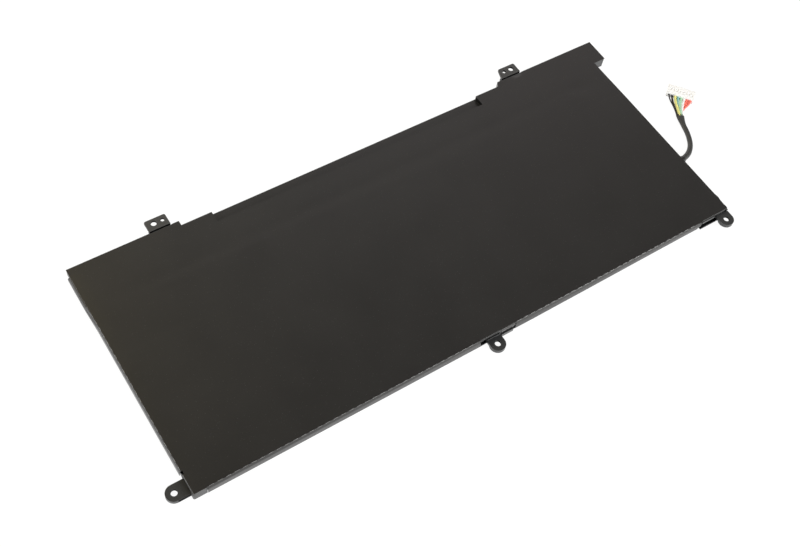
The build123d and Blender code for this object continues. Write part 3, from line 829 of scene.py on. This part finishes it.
# Each sill: axis and side of its wall, low and high corner, and reach, in millimetres from the front left
# corner of the face
sills = [
    (1, -1, (138.0, 0.0, 0.15), (144.0, 0.0, 2.2), 0.6),
    (1, -1, (130.1, 0.0, 3.05), (136.8, 0.0, 3.5), 0.3),
    (1, -1, (247.2, 0.0, 0.15), (258.9, 0.0, 0.75), 0.3),
    (0, 1, (144.0, 0.0, 0.15), (144.0, 1.2, 2.0), 2.4),
]
corner = Vector((left, front, 0))


def plain_copy(node):
    """A copy of a CAD node's mesh with its points merged and its flat faces joined."""
    bm = bmesh.new()
    bm.from_mesh(nodes[node].data)
    bmesh.ops.remove_doubles(bm, verts=bm.verts, dist=touching)
    bmesh.ops.dissolve_limit(bm, angle_limit=radians(0.5), verts=bm.verts, edges=bm.edges)
    return bm


def wall_faces(bm, axis, side, level):
    """The faces that lie in the plane of one wall."""
    return [
        face
        for face in bm.faces
        if face.normal[axis] * side > 0.99 and abs(face.calc_center_median()[axis] - level) < 0.01 * MM
    ]


def pull_sill(bm, axis, side, low, high, reach):
    """Cuts one oblong out of a wall and pulls it out."""
    low = corner + Vector(low) * MM
    high = corner + Vector(high) * MM
    others = [k for k in range(3) if k != axis]
    for k in others:
        for place in (low, high):
            faces = wall_faces(bm, axis, side, low[axis])
            edges = {edge for face in faces for edge in face.edges}
            verts = {vert for face in faces for vert in face.verts}
            normal = [float(k == j) for j in range(3)]
            bmesh.ops.bisect_plane(
                bm, geom=[*verts, *edges, *faces], dist=touching, plane_co=place, plane_no=normal
            )
    oblong = [
        face
        for face in wall_faces(bm, axis, side, low[axis])
        if all(low[k] < face.calc_center_median()[k] < high[k] for k in others)
    ]
    made = bmesh.ops.extrude_face_region(bm, geom=oblong)["geom"]
    moved = [item for item in made if isinstance(item, bmesh.types.BMVert)]
    shift = [side * reach * MM * (axis == j) for j in range(3)]
    bmesh.ops.translate(bm, vec=shift, verts=moved)
    bmesh.ops.delete(bm, geom=oblong, context="FACES_ONLY")


def beside(point, axis, radius):
    """Whether a point lies within a radius of an upright axis."""
    return (point - axis).to_2d().length < radius


bm = plain_copy("frame")
for sill in sills:
    pull_sill(bm, *sill)
for pin in pins:
    hole = [vert for vert in bm.verts if beside(vert.co, pin, pin_bore * pin_rim)]
    bmesh.ops.scale(bm, vec=(pin_swell, pin_swell, 1), verts=hole, space=Matrix.Translation(-pin))
print("frame closed", all(edge.is_manifold for edge in bm.edges), "faces", len(bm.faces))

# %% Soft edges and painted shade in the pockets of the frame
sharp = [edge for edge in bm.edges if edge.is_manifold and edge.calc_face_angle() > radians(40)]
bmesh.ops.bevel(
    bm,
    geom=sharp,
    offset=edge_radius,
    offset_type="OFFSET",
    segments=2,
    profile=0.5,
    affect="EDGES",
    clamp_overlap=False,
    material=-1,
)
# Low and high corners of the pockets that stay in shadow and get painted shade, in millimetres from the same
# corner
painted_shade_pockets = [
    ((129.9, -0.05, 3.45), (136.9, 1.1, 4.95)),
    ((137.6, -0.05, 2.15), (144.1, 1.1, 3.15)),
    ((127.4, -0.05, 0.1), (131.0, 1.1, 4.95)),
    ((144.1, -0.05, 0.1), (146.6, 1.3, 2.1)),
    ((247.1, -0.05, 0.7), (255.6, 1.1, 4.05)),
    ((255.4, -0.05, 0.7), (259.1, 1.1, 2.6)),
    ((254.1, -0.05, 4.05), (261.1, 0.8, 5.2)),
    ((-0.05, 1.8, 2.25), (0.8, 8.8, 5.2)),
    ((-0.05, 8.8, 3.7), (1.0, 10.3, 5.2)),
    ((-5.0, 1.8, 0.1), (0.0, 1.95, 2.0)),
    ((198.9, 102.0, 3.35), (199.3, 107.2, 5.2)),
    ((36.5, 109.35, 3.7), (46.3, 110.15, 5.2)),
    ((216.1, 109.35, 3.7), (226.9, 110.15, 5.2)),
]
shelf = ((63.4, 101.9, 3.2), (199.3, 107.1, 3.4))
bores = [
    *((lug, lug_bore, lug_thickness) for lug in (left_lug, front_lug, right_lug)),
    *((screw, screw_bore, tab_thickness) for screw in screws),
    *((pin, pin_bore * pin_swell, tab_thickness) for pin in pins),
]


def inside(point, low, high):
    """Whether a point lies in a box that is given from the front left corner."""
    from_corner = (point - corner) / MM
    return all(a < value < b for a, value, b in zip(low, from_corner, high))


def in_bore(point, axis, radius, depth):
    """Whether a point lies on the wall of a hole, away from its two rims."""
    sunk = axis.z - point.z
    return beside(point, axis, radius + edge_radius) and edge_radius < sunk < depth - edge_radius


pocket_end = left + 254.0 * MM
cut(bm, (pocket_end, 0, 0), (1, 0, 0))
# Faces in the pockets and on the walls of the holes get the painted-shade black
for face in bm.faces:
    centre = face.calc_center_median()
    if any(inside(centre, *box) for box in painted_shade_pockets) or any(in_bore(centre, *bore) for bore in bores):
        face.material_index = 1
    elif inside(centre, *shelf):
        face.material_index = 2
    # The tabs get the lighter copy of the moulded black, painted light
    elif centre.y > back + tab_root:
        face.material_index = 3
frame_finishes = [moulded_black, painted_shade_black, film_black, lit_tab_black]
counts = [sum(face.material_index == k for face in bm.faces) for k in range(len(frame_finishes))]
print("faces by finish", counts)
moulding = finish_piece(bm, "moulded_frame", *frame_finishes, replaced=["frame"])
even = moulding.modifiers.new("even_normals", "WEIGHTED_NORMAL")
even.keep_sharp = True
print("frame faces", len(moulding.data.polygons))

# %% [markdown]
# The lead is a free cord. Its line is a NURBS spline on the same points as the CAD tube, because a smooth
# curve with few points bends like a cable and not like wire. The sleeve is shrunk over the wires: it is a
# little thicker where it leaves the pack, slim in the middle, and pressed flat where the wires fan out.

# %% Sleeve of the lead
sleeve_diameter = 2.6 * MM
sleeve_place = 32.5 * MM
sleeve_exit = Vector((right, front + sleeve_place, 0))
route = [
    (-1.75, 0.0, 2.2),
    (5.5, 0.7, 1.7),
    (11.7, 4.7, 1.3),
    (15.4, 11.1, 1.3),
    (17.2, 17.5, 1.3),
    (19.45, 21.9, 1.3),
]
route = [sleeve_exit + Vector(point) * MM for point in route]


def spline_line(points, radius=0.0, swell=None):
    """The mesh of a NURBS spline: its bare line, or a tube where a radius is given."""
    data = bpy.data.curves.new("line", "CURVE")
    data.dimensions = "3D"
    data.resolution_u = 16
    data.bevel_depth = radius
    data.bevel_resolution = 6
    data.use_fill_caps = radius > 0
    spline = data.splines.new("NURBS")
    spline.points.add(len(points) - 1)
    for k, point in enumerate(points):
        spline.points[k].co = (*point, 1)
        spline.points[k].radius = swell[k] if swell else 1
    spline.order_u = 3
    spline.use_endpoint_u = True
    holder = bpy.data.objects.new("line", data)
    mesh = bpy.data.meshes.new_from_object(holder)
    bpy.data.objects.remove(holder)
    bpy.data.curves.remove(data)
    return mesh


sleeve_line = [vert.co.copy() for vert in spline_line(route).vertices]
sleeve_swell = [1.08, 1.08, 0.93, 0.90, 0.94, 1.0]
sleeve_end = route[-1]
sleeve_heading = (route[-1] - route[-2]).normalized()
sleeve_side = Vector((sleeve_heading.y, -sleeve_heading.x, 0))
flat_length = 7 * MM
flat_height = 0.78
flat_width = 1.5
collar_length = 3.3 * MM
collar_swell = 0.25
collar_blend = 0.5 * MM

bm = bmesh.new()
bm.from_mesh(spline_line(route, sleeve_diameter / 2, sleeve_swell))
close_tube(bm)
for vert in bm.verts:
    nearest = min(sleeve_line, key=lambda point: (point - vert.co).length)
    offset = vert.co - nearest
    vert.co += offset * collar_swell * ease((collar_length - nearest.x + right) / collar_blend)
    pressed = ease(1 - (sleeve_end - nearest).length / flat_length)
    sideways = sleeve_side * offset.dot(sleeve_side)
    vert.co += sideways * (flat_width - 1) * pressed
    vert.co.z += offset.z * (flat_height - 1) * pressed
for face in bm.faces:
    face.material_index = int(face.calc_center_median().x < right + collar_length)
sleeve = finish_piece(bm, "lead_sleeve", sleeve_black, film_black, replaced=["cable_sleeve"])

# %% [markdown]
# Eight thin wires leave the sleeve in two layers of four, and spread to the row of contacts in the connector.
# Each is a smooth tube through four points: the sleeve's end, a point straight ahead, a point straight behind
# its contact, and the contact. The red pair lies in the lower layer and comes out from under the white wire.

# %% Wires
wire_stack = 0.85 * MM
wire_count = 8
pin_pitch = 1.5 * MM
fan_lead = 0.28
fan_tail = 0.12
terminal_depth = 1.2 * MM
housing_length = 5.6 * MM
housing_height = 3.0 * MM
housing_end = 1.5 * MM
housing_angle = radians(38)
housing_rear = sleeve_exit + Vector((26.15, 30.15, 1.5)) * MM
housing_axis = Vector((cos(housing_angle), sin(housing_angle), 0))
housing_side = Vector((housing_axis.y, -housing_axis.x, 0))

# Wires in the order of their contacts: name, place across the sleeve, layer, and the diameter at each end in
# millimetres
wire_plan = [
    ("black_wires", -0.5, 1, 0.66, 0.66),
    ("black_wires", 0.1, 0, 0.90, 0.95),
    ("yellow_wire", 1, 1, 1.20, 1.25),
    ("blue_wire", 1, 0, 1.10, 1.25),
    ("green_wire", 2, 1, 1.15, 1.25),
    ("white_wire", 3, 1, 1.15, 1.20),
    ("red_wires", 2, 0, 0.90, 1.60),
    ("red_wires", 3, 0, 0.90, 1.60),
]


def wire_points(index, across, layer):
    """The four points of one wire."""
    start = sleeve_end + sleeve_side * (across - 1.5) * wire_stack
    start += Vector((0, 0, (layer - 0.5) * wire_stack))
    end = housing_rear + housing_side * (index - (wire_count - 1) / 2) * pin_pitch
    distance = (end - start).length
    return [
        start - sleeve_heading * wire_stack,
        start + sleeve_heading * distance * fan_lead,
        end - housing_axis * distance * fan_tail,
        end + housing_axis * terminal_depth,
    ]


for name in wire_tones:
    bm = bmesh.new()
    for index, (owner, across, layer, near, far) in enumerate(wire_plan):
        if owner == name:
            swell = [1, 1, far / near, far / near]
            bm.from_mesh(spline_line(wire_points(index, across, layer), near * MM / 2, swell))
    close_tube(bm)
    piece = finish_piece(bm, f"fan_{name}", wire_finish[name], replaced=[name])

# %% [markdown]
# The connector is a small white nylon housing. The photograph hardly shows it, so it is finished as such
# plugs are: a block with round edges, a square mouth behind each wire and a window over each contact.

# %% Connector
housing_width = (wire_count - 1) * pin_pitch + 2 * housing_end
cavity = 1.05 * MM
housing_round = 0.18 * MM
window_start = 1.6 * MM
window_end = 3.4 * MM
window_depth = 0.2 * MM
mouth_depth = 1.1 * MM
housing_place = Matrix.Translation(housing_rear) @ Matrix.Rotation(housing_angle, 4, "Z")


def pick(bm, test):
    """The faces whose centre passes a test."""
    return [face for face in bm.faces if test(face.calc_center_median(), face.normal)]


bm = bmesh.new()
bmesh.ops.create_cube(bm, size=1)
bmesh.ops.scale(bm, vec=(housing_length, housing_width, housing_height), verts=bm.verts)
bmesh.ops.translate(bm, vec=(housing_length / 2, 0, 0), verts=bm.verts)
bmesh.ops.bevel(
    bm,
    geom=bm.edges,
    offset=housing_round,
    offset_type="OFFSET",
    segments=3,
    profile=0.5,
    affect="EDGES",
    material=-1,
)
contact_ys = [(k - (wire_count - 1) / 2) * pin_pitch for k in range(wire_count)]
for y in contact_ys:
    for side in (-0.5, 0.5):
        cut(bm, (0, y + side * cavity, 0), (0, 1, 0))
for side in (-0.5, 0.5):
    cut(bm, (0, 0, side * cavity), (0, 0, 1))
for x in (window_start, window_end):
    cut(bm, (x, 0, 0), (1, 0, 0))
contact_spans = [(y - cavity / 2, y + cavity / 2) for y in contact_ys]
mouths = pick(
    bm, lambda at, facing: facing.x < -0.9 and abs(at.z) < cavity / 2 and in_spans(at.y, contact_spans)
)
windows = pick(
    bm,
    lambda at, facing: facing.z > 0.9 and window_start < at.x < window_end and in_spans(at.y, contact_spans),
)
for faces, depth in ((mouths, mouth_depth), (windows, window_depth)):
    sunk = bmesh.ops.extrude_discrete_faces(bm, faces=faces)["faces"]
    for face in sunk:
        bmesh.ops.translate(bm, vec=-face.normal * depth, verts=face.verts)
bmesh.ops.transform(bm, matrix=housing_place, verts=bm.verts)
connector = finish_piece(bm, "lead_connector", nylon_white, replaced=["connector_housing"])
print("connector width in mm", round(housing_width / MM, 2))

# %% [markdown]
# The pieces inside are not seen in the photograph, but the model keeps them, and each gets the finish of the
# real thing: laminated foil, nickel, amber tape, foam, a green board and its parts.

# %% Inner finishes
sheen = {"rough": (0.25, 0.4), "Metallic": 1.0}
foil = {"rough": (0.28, 0.4), "grain": 900, "blotch": 120, "depth": 0.05, "Metallic": 1.0}
mask = {"rough": (0.2, 0.3), "grain": 1200, "blotch": 300}
chips = ["power_switches", "gauge_chip", "backup_protector", "sense_resistor", "chip_resistors"]
ceramics = ["chemical_fuse", "thermistor", "chip_capacitors"]

# Each inner finish: name, two tones, settings, and the nodes that wear it
inner_plan = [
    (
        "pouch_foil",
        (0.46, 0.47, 0.48),
        (0.56, 0.57, 0.58),
        foil,
        ["cell_left", "cell_middle", "cell_right"],
    ),
    ("aluminium_lead", (0.72, 0.73, 0.74), (0.80, 0.81, 0.82), {**sheen, "grain": 1500}, ["positive_leads"]),
    (
        "nickel",
        (0.56, 0.53, 0.48),
        (0.64, 0.61, 0.56),
        {**sheen, "grain": 1500},
        ["negative_leads", "weld_tabs"],
    ),
    (
        "amber_tape",
        (0.50, 0.22, 0.03),
        (0.58, 0.28, 0.05),
        {"rough": (0.15, 0.3), "grain": 800},
        ["lead_tape"],
    ),
    (
        "adhesive_tape",
        (0.68, 0.68, 0.64),
        (0.74, 0.74, 0.70),
        {"rough": (0.6, 0.75), "grain": 1600},
        ["cell_tape"],
    ),
    (
        "foam",
        (0.035, 0.035, 0.036),
        (0.05, 0.05, 0.052),
        {"rough": (0.85, 0.95), "grain": 1200, "depth": 0.2},
        ["foam_strip"],
    ),
    ("solder_mask", (0.010, 0.085, 0.035), (0.014, 0.11, 0.045), mask, ["circuit_board"]),
    (
        "chip_black",
        (0.018, 0.018, 0.019),
        (0.026, 0.026, 0.027),
        {"rough": (0.5, 0.65), "grain": 5000},
        chips,
    ),
    (
        "fired_ceramic",
        (0.36, 0.27, 0.18),
        (0.44, 0.34, 0.24),
        {"rough": (0.35, 0.5), "grain": 3000},
        ceramics,
    ),
    ("contact_tin", (0.66, 0.58, 0.42), (0.74, 0.68, 0.54), {**sheen, "grain": 2500}, ["crimp_terminals"]),
]
worn = [
    (finish(name, tone, second_tone, **settings), names)
    for name, tone, second_tone, settings, names in inner_plan
]
worn += [(wire_finish["black_wires"], ["inner_wires"]), (film_black, ["bottom_film", "bay_cover"])]
for material, names in worn:
    for name in names:
        nodes[name].data.materials.clear()
        nodes[name].data.materials.append(material)
print("finished nodes", sum(len(names) for material, names in worn))

# %% [markdown]
# The pack lies on a white table in even studio light. The table is a plain white surface that glows a little
# for the camera and for reflections, so it reads as pure white and still takes a soft shadow. It doesn't glow
# under the pack, where the gaps of the frame look dark. The sky is dim, and white where the camera looks
# straight at it. Two large lamps behind give the plain face its sheen, a small warm one tints its left end,
# and the lamps in front and on the left draw the thin light line along the folds.

# %% Table, sky and lamps
glow_share = 0.88
glow_strength = 1.08
glossy_extra = 0.65
dark_inset = 2.4 * MM
bright_inset = 1.2 * MM


def table_material():
    """White table: diffuse, with a share of white that only camera, glossy and transmission rays see."""
    material = bpy.data.materials.new("white_table")
    material.use_nodes = True
    tree = material.node_tree
    add, link = tree.nodes.new, tree.links.new
    tree.nodes.remove(tree.nodes["Principled BSDF"])
    matt = add("ShaderNodeBsdfDiffuse")
    matt.inputs["Color"].default_value = (0.9, 0.9, 0.9, 1)
    glow = add("ShaderNodeEmission")
    path = add("ShaderNodeLightPath")
    seen = add_math(tree, "ADD")
    seen_through = add_math(tree, "ADD")
    share = add_math(tree, "MULTIPLY")
    share.use_clamp = True
    mixed = add("ShaderNodeMixShader")
    place = add("ShaderNodeTexCoord")
    split = add("ShaderNodeSeparateXYZ")
    outside = add_math(tree, "MAXIMUM")
    glowing = add_math(tree, "MULTIPLY")
    glowing.inputs[1].default_value = glow_share
    link(place.outputs["Object"], split.inputs["Vector"])
    for k, (axis, centre, half) in enumerate(
        (("X", (left + right) / 2, (right - left) / 2), ("Y", (front + back) / 2, (back - front) / 2))
    ):
        shifted = add_math(tree, "SUBTRACT")
        shifted.inputs[1].default_value = centre
        away = add_math(tree, "ABSOLUTE")
        edge = add_range(tree, half - dark_inset, half - bright_inset)
        link(split.outputs[axis], shifted.inputs[0])
        link(shifted.outputs["Value"], away.inputs[0])
        link(away.outputs["Value"], edge.inputs["Value"])
        link(edge.outputs["Result"], outside.inputs[k])
    link(outside.outputs["Value"], glowing.inputs[0])
    link(glowing.outputs["Value"], share.inputs[1])
    link(path.outputs["Is Camera Ray"], seen.inputs[0])
    link(path.outputs["Is Glossy Ray"], seen.inputs[1])
    link(seen.outputs["Value"], seen_through.inputs[0])
    link(path.outputs["Is Transmission Ray"], seen_through.inputs[1])
    link(seen_through.outputs["Value"], share.inputs[0])
    link(share.outputs["Value"], mixed.inputs["Fac"])
    link(matt.outputs["BSDF"], mixed.inputs[1])
    link(glow.outputs["Emission"], mixed.inputs[2])
    link(mixed.outputs["Shader"], tree.nodes["Material Output"].inputs["Surface"])
    brighter = add_math(tree, "MULTIPLY_ADD")
    brighter.inputs[1].default_value = glossy_extra
    brighter.inputs[2].default_value = glow_strength
    link(path.outputs["Is Glossy Ray"], brighter.inputs[0])
    link(brighter.outputs["Value"], glow.inputs["Strength"])
    return material


table_half = 3.0
table_gap = 0.05 * MM
bm = bmesh.new()
bmesh.ops.create_grid(bm, x_segments=1, y_segments=1, size=table_half)
bmesh.ops.translate(bm, vec=(0, 0, cad_low.z - table_gap), verts=bm.verts)
table_mesh = bpy.data.meshes.new("table")
bm.to_mesh(table_mesh)
bm.free()
table_mesh.materials.append(table_material())
table = bpy.data.objects.new("table", table_mesh)
bpy.context.scene.collection.objects.link(table)

sky_low, sky_high = 0.3, 0.195
world = bpy.data.worlds.new("studio")
bpy.context.scene.world = world
world.use_nodes = True
sky = world.node_tree
direction = sky.nodes.new("ShaderNodeTexCoord")
height = sky.nodes.new("ShaderNodeSeparateXYZ")
rise = add_range(sky, 0.2, 0.75)
rise.interpolation_type = "SMOOTHSTEP"
rise.inputs["To Min"].default_value = sky_low
rise.inputs["To Max"].default_value = sky_high
sky.links.new(direction.outputs["Generated"], height.inputs["Vector"])
sky.links.new(height.outputs["Z"], rise.inputs["Value"])
looked_at = sky.nodes.new("ShaderNodeLightPath")
brightest = add_math(sky, "MAXIMUM")
sky.links.new(rise.outputs["Result"], brightest.inputs[0])
sky.links.new(looked_at.outputs["Is Camera Ray"], brightest.inputs[1])
sky.links.new(brightest.outputs["Value"], sky.nodes["Background"].inputs["Strength"])
sky.nodes["Background"].inputs["Color"].default_value = (1, 1, 1, 1)


def lamp(name, place, size, power, tint=(1, 1, 1)):
    """A large soft lamp that looks at the middle of the pack."""
    data = bpy.data.lights.new(name, "AREA")
    data.color = tint
    data.size = size
    data.energy = power
    item = bpy.data.objects.new(name, data)
    item.location = place
    item.visible_camera = False
    item.rotation_euler = (-Vector(place)).to_track_quat("-Z", "Y").to_euler()
    bpy.context.scene.collection.objects.link(item)


lamp("back_lamp", (0.30, 1.10, 0.60), 1.0, 3.1)
lamp("right_back_lamp", (0.85, 0.95, 0.60), 0.9, 2.1, (1, 0.88, 0.88))
lamp("warm_lamp", (-0.35, 0.75, 0.85), 0.5, 1.9, (1, 0.77, 0.26))
lamp("front_lamp", (0.95, -0.85, 0.90), 0.8, 4)
lamp("low_front_lamp", (0.45, -1.05, 0.50), 0.8, 14)
lamp("low_left_lamp", (-1.05, 0.50, 0.45), 0.8, 10)
bpy.context.scene.view_settings.view_transform = "Standard"
